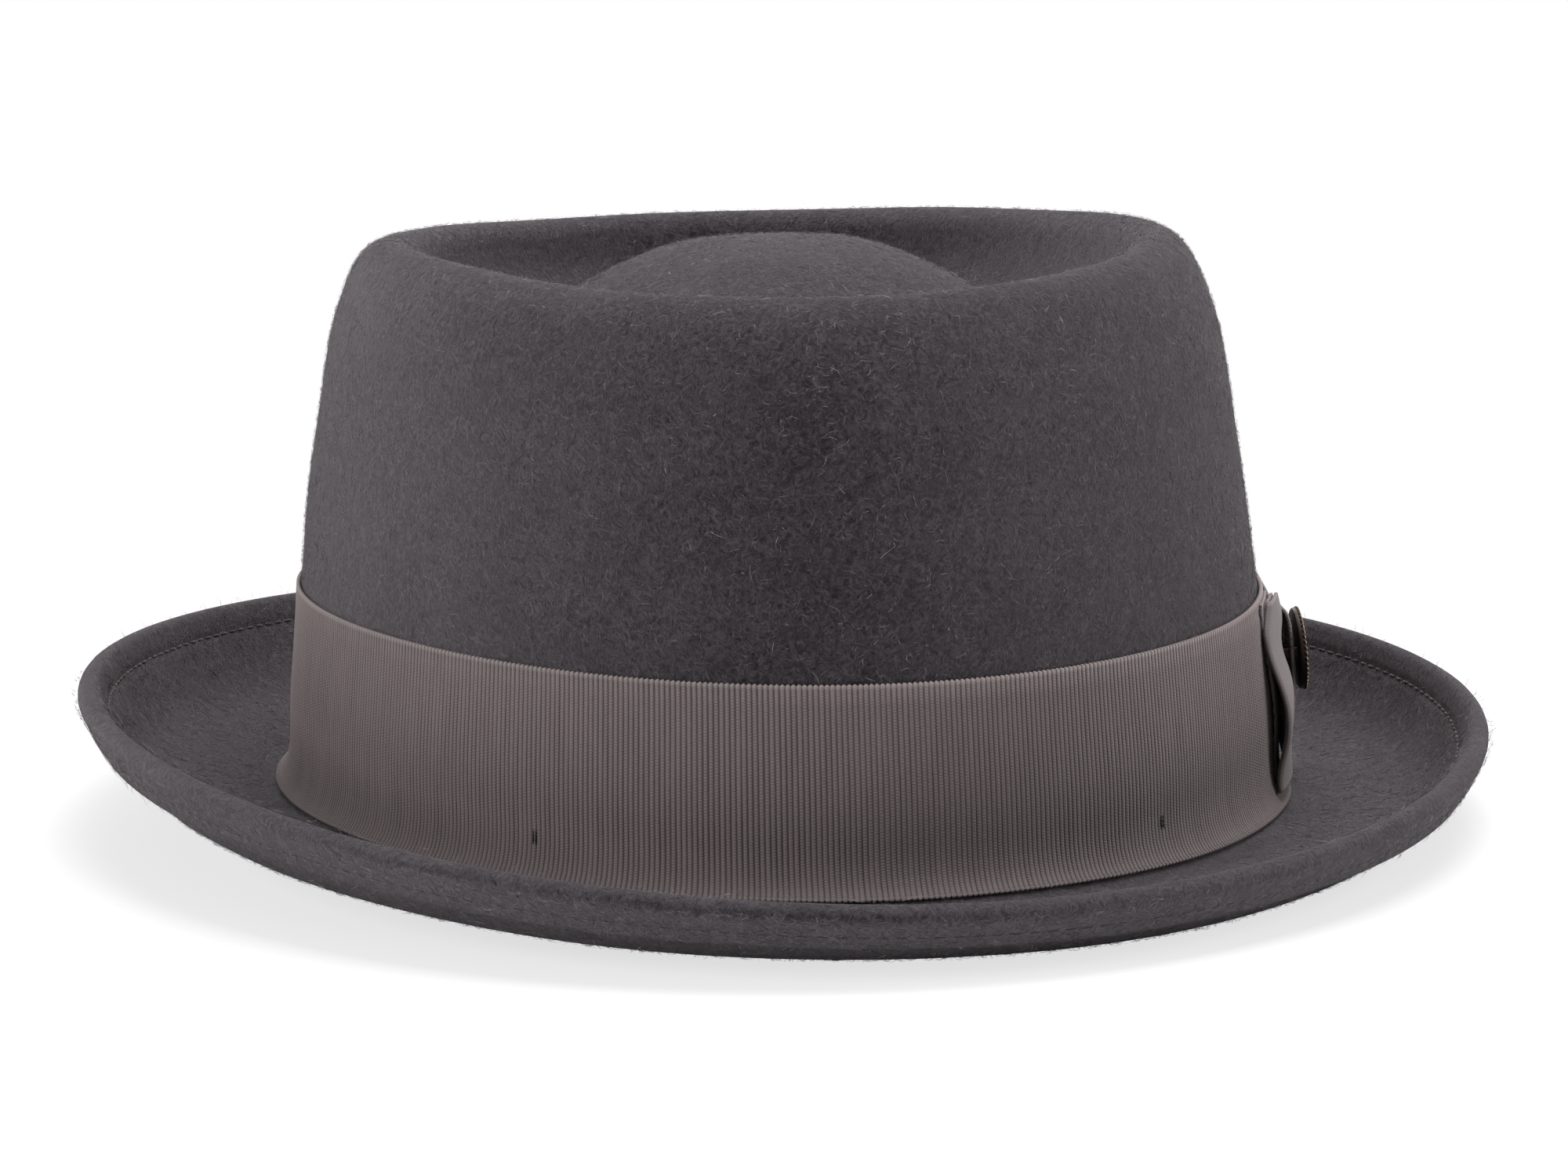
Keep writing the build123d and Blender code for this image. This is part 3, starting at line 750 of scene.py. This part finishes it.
knot_width = 0.0118
knot_length = 0.050
knot = flat_strip("bow_knot_ribbon", knot_length, knot_width, 160, 14)
points = points_of(knot)
around = points[:, 0] / knot_length * 2 * pi
v = points[:, 1] / knot_width - 0.5
up = np.sign(np.cos(around)) * np.abs(np.cos(around)) ** 0.45
out = np.sign(np.sin(around)) * np.abs(np.sin(around)) ** 0.7
pinch = 1 - 0.10 * np.clip(out, 0, 1) * (1 - up * up)
crumple = 0.00018 * np.cos(6 * pi * v) * np.clip(out, 0, 1)
front = np.where(out > 0, 0.0023 + 0.0004 * up, 0.0018)
knot_rise = bow_height / 2 * waist + 0.0010
upright = knot_rise * up * (1 - 0.03 * v)
points = np.stack([v * knot_width * pinch, upright, 0.0022 + front * out + crumple], 1)
place_points(knot, points)
# The knot's ribbon is painted a little darker than the bow's, as shade on the gathered knot, with
# a deeper groove shade for its deeper ribs.
knot_material = ribbon_material(
    "grosgrain_knot", bow_rib_pitch, srgb(108, 99, 99), srgb(58, 53, 54),
    srgb(124, 115, 114), knot_width, 0.00012,
)
lay_round(knot, bow_middle, bow_face, bow_turn, bow_middle)
pick(knot)
bpy.ops.object.mode_set(mode="EDIT")
bpy.ops.mesh.select_all(action="SELECT")
bpy.ops.mesh.remove_doubles(threshold=1e-5)
bpy.ops.object.mode_set(mode="OBJECT")
thicken(knot, bow_thickness)
knot.data.materials.append(knot_material)
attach(knot, "root")
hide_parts("bow_knot")


# Badge: a small round dark casting with a rope edge, held to the knot by two prongs, and a fluted
# bronze centre set into it. The rope is one slanted bead copied round the rim.
low, high = (np.array(corner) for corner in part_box("badge_casting"))
badge_middle = (low + high) / 2
badge_out = on_block(bow_middle, -0.001, bow_turn) - on_block(bow_middle, 0.0, bow_turn)
badge_out = Vector(badge_out / np.linalg.norm(badge_out))
badge_round = Vector((0, 0, 1)).cross(badge_out).normalized()
badge_up = badge_out.cross(badge_round)
badge_seat = Matrix((badge_round, badge_up, badge_out)).transposed().to_4x4()
badge_seat.translation = Vector(badge_middle)

bronze, bronze_in, bronze_out = new_group(
    "antiqued_bronze",
    {"Place": ("Vector", None), "Worn": ("Float", 0.0), "Dark": ("Color", (0, 0, 0, 1)),
     "Bright": ("Color", (0, 0, 0, 1))},
    {"Color": "Color", "Rough": "Float", "Height": "Float"},
)
pits = noise(bronze, bronze_in["Place"], 1400, Detail=5, Roughness=0.7)
patina = noise(bronze, bronze_in["Place"], 330, Detail=3)
rubbed = maths(bronze, "MULTIPLY_ADD", patina, -0.5, bronze_in["Worn"])
rubbed = maths(bronze, "MULTIPLY_ADD", pits, 0.4, rubbed)
rubbed = remap(bronze, rubbed, 0.25, 0.85, 0.0, 1.0)
aged = blend_colours(bronze, rubbed, bronze_in["Dark"], bronze_in["Bright"])
bronze.links.new(aged, bronze_out["Color"])
bronze.links.new(
    remap(bronze, rubbed, 0.0, 1.0, 0.55, 0.28), bronze_out["Rough"]
)
bronze.links.new(pits, bronze_out["Height"])


def bronze_material(name, dark, bright):
    """Antiqued bronze, dark in its hollows and rubbed bright on the high spots."""
    material, tree, shader = new_material(name, {"Metallic": 0.9, "Specular IOR Level": 0.5})
    place = own_place(tree)
    worn = put(tree, "Attribute", attribute_name="worn").outputs["Fac"]
    metal = {"Place": place, "Worn": worn, "Dark": dark, "Bright": bright}
    here = put(tree, "Group", metal, node_tree=bronze)
    tree.links.new(here.outputs["Color"], shader["Base Color"])
    tree.links.new(here.outputs["Rough"], shader["Roughness"])
    add_relief(tree, shader, here.outputs["Height"], 0.35, 0.0001)
    return material


def mark_worn(piece, worn):
    """Store how rubbed each point is, 0 to 1."""
    marks = piece.data.attributes.new("worn", "FLOAT", "POINT")
    marks.data.foreach_set("value", np.clip(worn, 0, 1))


def join(name, *pieces):
    """Join pieces into the first."""
    pick(*pieces)
    bpy.ops.object.join()
    pieces[0].name = pieces[0].data.name = name
    return pieces[0]


def turned(name, outline, steps):
    """Turn an outline of (radius, height) corners, which starts and ends on the axis."""
    piece = spin_flat(name, [(radius, -height) for radius, height in outline], steps, closed=False)
    bpy.ops.object.shade_smooth_by_angle(angle=radians(40))
    return piece


casting_outline = [
    (0, 0.00015), (0.0030, 0.00015), (0.0058, 0.00010), (0.0061, 0.0), (0.00625, 0.00045),
    (0.0065, 0.00062), (0.0071, 0.00060), (0.00745, 0.00035), (0.0076, 0.0),
    (0.00745, -0.0005), (0.0071, -0.00072), (0.0030, -0.00075), (0, -0.00075),
]
casting = turned("badge_dish", casting_outline, 72)
bead_count = 44
rope_radius = 0.0071
rope_height = 0.00035
bpy.ops.mesh.primitive_uv_sphere_add(segments=10, ring_count=6, radius=1)
bead = bpy.context.object
bead_points = points_of(bead) * [0.00042, 0.00082, 0.00040]
bead_faces = [list(polygon.vertices) for polygon in bead.data.polygons]
bpy.data.objects.remove(bead)
rope_points = []
for k in range(bead_count):
    turn = 2 * pi * k / bead_count
    slanted = Matrix.Rotation(turn, 3, "Z") @ Matrix.Rotation(radians(52), 3, "Z")
    middle = np.array([rope_radius * cos(turn), rope_radius * sin(turn), rope_height])
    rope_points.append(bead_points @ np.array(slanted).T + middle)
rope_faces = repeat_faces((bead_points, bead_faces), bead_count)
rope = new_piece("rope", np.concatenate(rope_points), rope_faces)
rope.data.shade_smooth()
casting = join("badge_rope_casting", casting, rope)
points = points_of(casting)
mark_worn(casting, (points[:, 2] - rope_height) / 0.0004)
casting.data.transform(badge_seat)
casting_metal = bronze_material("dark_casting", srgb(38, 33, 31), srgb(178, 148, 116))
casting.data.materials.append(casting_metal)
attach(casting, "root")
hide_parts("badge_casting")

inlay_outline = [
    (0, 0.00060), (0.0008, 0.00058), (0.0010, 0.00046), (0.0013, 0.00046), (0.0016, 0.00056),
    (0.0030, 0.00050), (0.0042, 0.00036), (0.0046, 0.00026), (0.0050, 0.00026),
    (0.0054, 0.00034), (0.0059, 0.00026), (0.0061, 0.00012), (0.0061, 0.00002), (0, 0.00002),
]
inlay = turned("badge_inlay_dome", inlay_outline, 96)
points = points_of(inlay)
petals = np.cos(12 * np.arctan2(points[:, 1], points[:, 0]))
out_share = np.hypot(points[:, 0], points[:, 1])
fluted = (out_share > 0.0014) & (out_share < 0.0045) & (points[:, 2] > 0.0003)
points[:, 2] += fluted * 0.00007 * petals
place_points(inlay, points)
mark_worn(inlay, 0.35 + 0.35 * fluted * petals + 0.3 * (out_share < 0.0009))
inlay.data.transform(badge_seat)
inlay.data.materials.append(bronze_material("bronze_inlay", srgb(70, 55, 40), srgb(196, 160, 112)))
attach(inlay, "root")
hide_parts("badge_centre")

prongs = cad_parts["badge_prongs"]
prongs.data.materials.clear()
prong_metal = bronze_material("prong_metal", srgb(60, 52, 46), srgb(120, 104, 86))
prongs.data.materials.append(prong_metal)


# Lining: dark grey satin, a wall with a seam at the back and a shallow domed tip, joined under a
# satin piping. It is caught behind the sweatband all round.
satin, satin_in, satin_out = new_group(
    "satin_weave",
    {"Place": ("Vector", None), "Main": ("Color", (0, 0, 0, 1)), "Light": ("Color", (0, 0, 0, 1))},
    {"Color": "Color", "Rough": "Float", "Height": "Float"},
)
drawn_out = put(satin, "Mapping", {0: satin_in["Place"], 3: (1, 1, 0.12)}).outputs[0]
floats = noise(satin, drawn_out, 3600, Detail=2)
creases = noise(satin, satin_in["Place"], 55, Detail=3, Distortion=0.6)
# The paler colour is painted sheen, lighter along the floats and the creases.
lit = maths(satin, "MULTIPLY_ADD", floats, 0.6, creases)
lit = remap(satin, lit, 0.55, 1.05, 0.0, 1.0)
satin.links.new(blend_colours(satin, lit, satin_in["Main"], satin_in["Light"]), satin_out["Color"])
satin.links.new(remap(satin, floats, 0.3, 0.7, 0.34, 0.46), satin_out["Rough"])
satin.links.new(
    maths(satin, "MULTIPLY_ADD", creases, 6.0, floats),
    satin_out["Height"],
)


def satin_material(name, main, light):
    """Satin whose colour is lightened by painted sheen along the long floats and the creases, its
    gloss broken by the long floats of its yarn.
    """
    material, tree, shader = new_material(
        name, {"Specular IOR Level": 0.5, "Sheen Weight": 0.3, "Sheen Roughness": 0.3}
    )
    place = own_place(tree)
    here = put(tree, "Group", {"Place": place, "Main": main, "Light": light}, node_tree=satin)
    tree.links.new(here.outputs["Color"], shader["Base Color"])
    tree.links.new(here.outputs["Rough"], shader["Roughness"])
    add_relief(tree, shader, here.outputs["Height"], 0.4, 0.0003)
    return material


lining_satin = satin_material("lining_satin", srgb(66, 62, 68), srgb(96, 91, 97))
piping_satin = satin_material("piping_satin", srgb(96, 88, 86), srgb(128, 118, 114))
lining_depth = felt_thickness + 0.0002
lining_thickness = 0.0004
lining_foot = wall_way(0.010)
lining_top = wall_way(0.066)
lining_height = lining_foot - lining_top
lining_length = ring_table((lining_foot + lining_top) / 2, lining_depth)[1][-1] - 0.0002
lining = flat_strip("lining_side", lining_length, lining_height, 360, 24)
lay_round(lining, lining_foot, lining_depth + 0.0003, pi / 2, (lining_foot + lining_top) / 2)
thicken(lining, lining_thickness)
lining.data.materials.append(lining_satin)
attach(lining, "root")
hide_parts("lining_wall")

piping_radius = 0.0011
piping_way = lining_top + piping_radius
piping_depth = lining_depth + 0.0005 + 0.0002 + piping_radius
round_turns = [2 * pi * k / 12 for k in range(12)]
piping_outline = [
    (piping_way + piping_radius * sin(turn), piping_depth + piping_radius * cos(turn))
    for turn in round_turns
]
piping = pull_over_block(spin_flat("lining_cord_piping", piping_outline, 240))
piping.data.materials.append(piping_satin)
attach(piping, "root")
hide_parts("lining_piping")

tip_depth = piping_depth + piping_radius + 0.0002
flat_radius = 0.08
tip_dome = 0.007
shares = np.linspace(0, 1, 22)
tip_outline = [(flat_radius * share, 0) for share in shares]
tip_outline += [(flat_radius * share, lining_thickness) for share in shares[::-1]]
tip = spin_flat("lining_crown_tip", tip_outline, 180, closed=False)
x, y, z = points_of(tip).T
share = np.hypot(x, y)[:, None] / flat_radius
turn = np.arctan2(y, x)
tip_middle = on_block(piping_way, tip_depth, np.linspace(0, 2 * pi, 181)[:-1]).mean(axis=0)
tip_points = tip_middle + (on_block(piping_way, tip_depth, turn) - tip_middle) * share
pucker = 0.00012 * np.cos(90 * turn) * share[:, 0] ** 12
tip_points[:, 2] += tip_dome * (1 - share[:, 0] ** 2) + z + pucker
place_points(tip, tip_points)
tip.data.materials.append(lining_satin)
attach(tip, "root")
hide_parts("lining_tip")


# Sweatband: smooth brown leather round the head, with a plastic reed in a cotton tape along its
# lower edge, sewn through; its ends meet at the back under a small flat satin bow.
sweat_foot = wall_way(0.0034)
sweat_height = 0.036
sweat_thickness = 0.0010
sweat_depth = lining_depth + 0.0005 + 0.0002 + 0.00055
sweat_face = sweat_depth + sweat_thickness / 2
leather_material, tree, shader = new_material(
    "sweatband_leather", {"Specular IOR Level": 0.45, "Coat Weight": 0.08, "Coat Roughness": 0.35}
)
place = own_place(tree)
pores = put(tree, "TexVoronoi", {"Vector": place, "Scale": 1500, "Randomness": 1.0})
pores = pores.outputs["Distance"]
folds = noise(tree, place, 420, Detail=4, Distortion=1.5)
stain = noise(tree, place, 38, Detail=3)
grain = maths(tree, "MULTIPLY_ADD", folds, 0.8, pores)
stained = remap(tree, stain, 0.35, 0.70, 0.0, 1.0)
hide = blend_colours(tree, stained, srgb(78, 54, 38), srgb(104, 74, 52))
pored = remap(tree, pores, 0.0, 0.35, 0.35, 0.0)
tree.links.new(blend_colours(tree, pored, hide, srgb(48, 32, 23)), shader["Base Color"])
rough = remap(tree, folds, 0.3, 0.7, 0.42, 0.60)
tree.links.new(rough, shader["Roughness"])
add_relief(tree, shader, grain, 0.4, 0.00015)

sweat_middle = sweat_foot - sweat_height / 2
sweat_length = ring_table(sweat_middle, sweat_depth)[1][-1] - 0.0003
sweatband = flat_strip("sweatband_strip", sweat_length, sweat_height, 360, 26)
points = points_of(sweatband)
rise = points[:, 1] / sweat_height
points[:, 1] += 0.0005 * np.sin(points[:, 0] * 38) * (rise > 0.99)
points[:, 2] += 0.00012 * np.exp(-(((rise - 0.90) / 0.012) ** 2))
place_points(sweatband, points)
lay_round(sweatband, sweat_foot, sweat_depth, pi / 2, sweat_middle)
thicken(sweatband, sweat_thickness)
sweatband.data.materials.append(leather_material)
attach(sweatband, "root")
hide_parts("sweatband")

reed_radius = 0.0008
tape_inner = reed_radius + 0.00005
tape_outer = tape_inner + 0.0004
reed_way = sweat_foot + tape_outer + 0.0002
reed_depth = lining_depth + 0.0007 + tape_outer


def tape_arc(radius, first, last, count):
    """Corners on an arc about the reed, the turn measured from inwards towards the brim."""
    turns = np.radians(np.linspace(first, last, count))
    return [(reed_way + radius * sin(t), reed_depth + radius * cos(t)) for t in turns]


reed = pull_over_block(spin_flat("reed_hoop", tape_arc(reed_radius, 0, 324, 10), 240))
reed_material, tree, shader = new_material("reed_plastic", {"Specular IOR Level": 0.5})
place = own_place(tree)
drawn = noise(tree, place, 600, Detail=3)
clouded = blend_colours(tree, drawn, srgb(226, 222, 210), srgb(240, 238, 230))
tree.links.new(clouded, shader["Base Color"])
tree.links.new(remap(tree, drawn, 0.0, 1.0, 0.35, 0.5), shader["Roughness"])
reed.data.materials.append(reed_material)
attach(reed, "root")
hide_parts("sweatband_reed")

tape_outline = tape_arc(tape_outer, -60, 240, 13) + tape_arc(tape_inner, 240, -60, 11)
tape = pull_over_block(spin_flat("reed_cotton_tape", tape_outline, 240))
tape_material, tree, shader = new_material(
    "cotton_tape", {"Roughness": 0.85, "Specular IOR Level": 0.2, "Sheen Weight": 0.2}
)
place = own_place(tree)
across = stripes(tree, place, 420, 0.6, "Z")
along = stripes(tree, place, 420, 0.6, "DIAGONAL")
woven = maths(tree, "MULTIPLY", across, along)
tape_colour = blend_colours(tree, woven, srgb(44, 36, 32), srgb(74, 62, 55))
tree.links.new(tape_colour, shader["Base Color"])
add_relief(tree, shader, woven, 0.5, 0.0001)
tape.data.materials.append(tape_material)
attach(tape, "root")
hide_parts("reed_tape")

sweat_stitch = one_stitch(0.0024, 0.0003)
sweat_row = stitch_row(
    sweat_stitch, sweat_foot - 0.0025, sweat_face + 0.00012, 0.0030, -1, lean=0.35
)
sweat_stitches = copy_round("sweatband_stitches", sweat_stitch, sweat_row, thread_material)
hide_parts("sweatband_stitching")

seam_bow_length = 0.024
seam_bow_height = 0.009
seam_bow_way = wall_way(0.0134)
seam_bow_depth = sweat_face + 0.0010
seam_bow = flat_strip("seam_bow", seam_bow_length, seam_bow_height, 60, 20)
points = points_of(seam_bow)
u = points[:, 0] / seam_bow_length * 2 - 1
v = points[:, 1] / seam_bow_height - 0.5
pulled_in = 0.42 + 0.58 * np.clip(np.abs(u) / 0.6, 0, 1) ** 0.7
folds = 0.00022 * np.cos(4 * pi * v) * np.clip(1 - np.abs(u), 0, 1)
points = np.stack([u * seam_bow_length / 2, v * seam_bow_height * pulled_in, folds], axis=1)
place_points(seam_bow, points)
lay_round(seam_bow, seam_bow_way, seam_bow_depth, pi / 2, seam_bow_way)
thicken(seam_bow, 0.0008)
seam_knot_width = 0.0034
seam_knot_height = 0.0056
seam_knot = flat_strip("seam_knot", seam_knot_width, seam_knot_height, 12, 20)
points = points_of(seam_knot) - [seam_knot_width / 2, seam_knot_height / 2, 0]
swell = 1 - (points[:, 1] / (seam_knot_height / 2)) ** 4
points[:, 2] = -0.0007 * swell + 0.0001 * np.cos(points[:, 0] * 3700)
place_points(seam_knot, points)
lay_round(seam_knot, seam_bow_way, seam_bow_depth, pi / 2, seam_bow_way)
thicken(seam_knot, 0.0006)
seam_bow = join("sweatband_seam_bow", seam_bow, seam_knot)
seam_bow.data.materials.append(piping_satin)
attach(seam_bow, "root")
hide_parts("sweatband_bow")


# Size tag: a blank cream label, woven from fine yarn. It is sewn at its two ends to the lining,
# just above the sweatband at the back.
tag_length = 0.024
tag_height = 0.014
tag_way = wall_way(0.0484)
tag = flat_strip("size_label", tag_length, tag_height, 36, 20)
points = points_of(tag) - [tag_length / 2, tag_height / 2, 0]
points[:, 2] = -0.0004 * (1 - (points[:, 0] / (tag_length / 2)) ** 4)
place_points(tag, points)
lay_round(tag, tag_way, 0.0036, pi / 2, tag_way)
thicken(tag, 0.0003)
tag_material, tree, shader = new_material(
    "woven_label", {"Roughness": 0.7, "Specular IOR Level": 0.3, "Sheen Weight": 0.15}
)
flat = put(tree, "UVMap", uv_map="flat").outputs[0]
sides = put(tree, "SeparateXYZ", {0: flat}).outputs
bars = stripes(tree, flat, 800, 0.4, "X")
picks = stripes(tree, flat, 800, 0.4, "Y")
woven = maths(tree, "MULTIPLY", bars, picks)
in_from_end = maths(tree, "SUBTRACT", sides[0], tag_length / 2)
in_from_end = maths(tree, "ABSOLUTE", in_from_end)
sewn = remap(tree, in_from_end, 0.0106, 0.0109, 0.0, 0.5)
cream = blend_colours(tree, woven, srgb(196, 190, 178), srgb(226, 221, 210))
tree.links.new(blend_colours(tree, sewn, cream, srgb(110, 100, 92)), shader["Base Color"])
add_relief(tree, shader, woven, 0.4, 0.0001)
tag.data.materials.append(tag_material)
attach(tag, "root")
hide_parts("size_tag")


# Stage: a plain white floor and plain soft light from both sides and above. The floor is white to
# the camera, and keeps a soft shadow near the hat.


def seen_share(tree):
    """One where the camera looks, straight or by a reflection or through glass."""
    rays = put(tree, "LightPath").outputs
    seen = maths(tree, "MAXIMUM", rays["Is Camera Ray"], rays["Is Glossy Ray"])
    return maths(tree, "MAXIMUM", seen, rays["Is Transmission Ray"])


bpy.ops.mesh.primitive_plane_add(size=12, location=(0, 0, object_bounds()[0][2]))
floor = bpy.context.object
floor.name = "floor"
floor_material = bpy.data.materials.new("white_floor")
floor_material.use_nodes = True
tree = floor_material.node_tree
tree.nodes.clear()
output = put(tree, "OutputMaterial")
paper = put(tree, "BsdfDiffuse", {"Color": (0.82, 0.82, 0.82, 1)}).outputs[0]
white = put(tree, "Emission", {"Color": (1, 1, 1, 1), "Strength": 1.0}).outputs[0]
reach = put(tree, "VectorMath", {0: own_place(tree)}, operation="LENGTH").outputs[1]
whiteness = remap(tree, reach, 0.12, 0.30, 0.70, 1.0)
seen = maths(tree, "MULTIPLY", seen_share(tree), whiteness)
mixed = put(tree, "MixShader", {0: seen, 1: paper, 2: white}).outputs[0]
tree.links.new(mixed, output.inputs["Surface"])
floor.data.materials.append(floor_material)

world = bpy.data.worlds.new("studio")
bpy.context.scene.world = world
world.use_nodes = True
tree = world.node_tree
strength = remap(tree, seen_share(tree), 0.0, 1.0, 0.20, 1.0)
tree.nodes["Background"].inputs["Color"].default_value = (1, 1, 1, 1)
tree.links.new(strength, tree.nodes["Background"].inputs["Strength"])

for name, place, power, size in (
    ("left_light", (-1.25, -0.60, 0.55), 16.0, 0.8),
    ("right_light", (1.30, -0.25, 0.55), 11.0, 0.8),
    ("top_light", (0.25, 0.20, 1.4), 29.0, 1.0),
    ("back_light", (0.0, 1.3, 0.8), 9.0, 0.8),
):
    bpy.ops.object.light_add(type="AREA", location=place)
    lamp = bpy.context.object
    lamp.name = name
    lamp.data.energy = power
    lamp.data.size = size
    to_hat = Vector((0, 0, 0.05)) - Vector(place)
    lamp.rotation_euler = to_hat.to_track_quat("-Z", "Y").to_euler()

bpy.context.scene.view_settings.view_transform = "Standard"
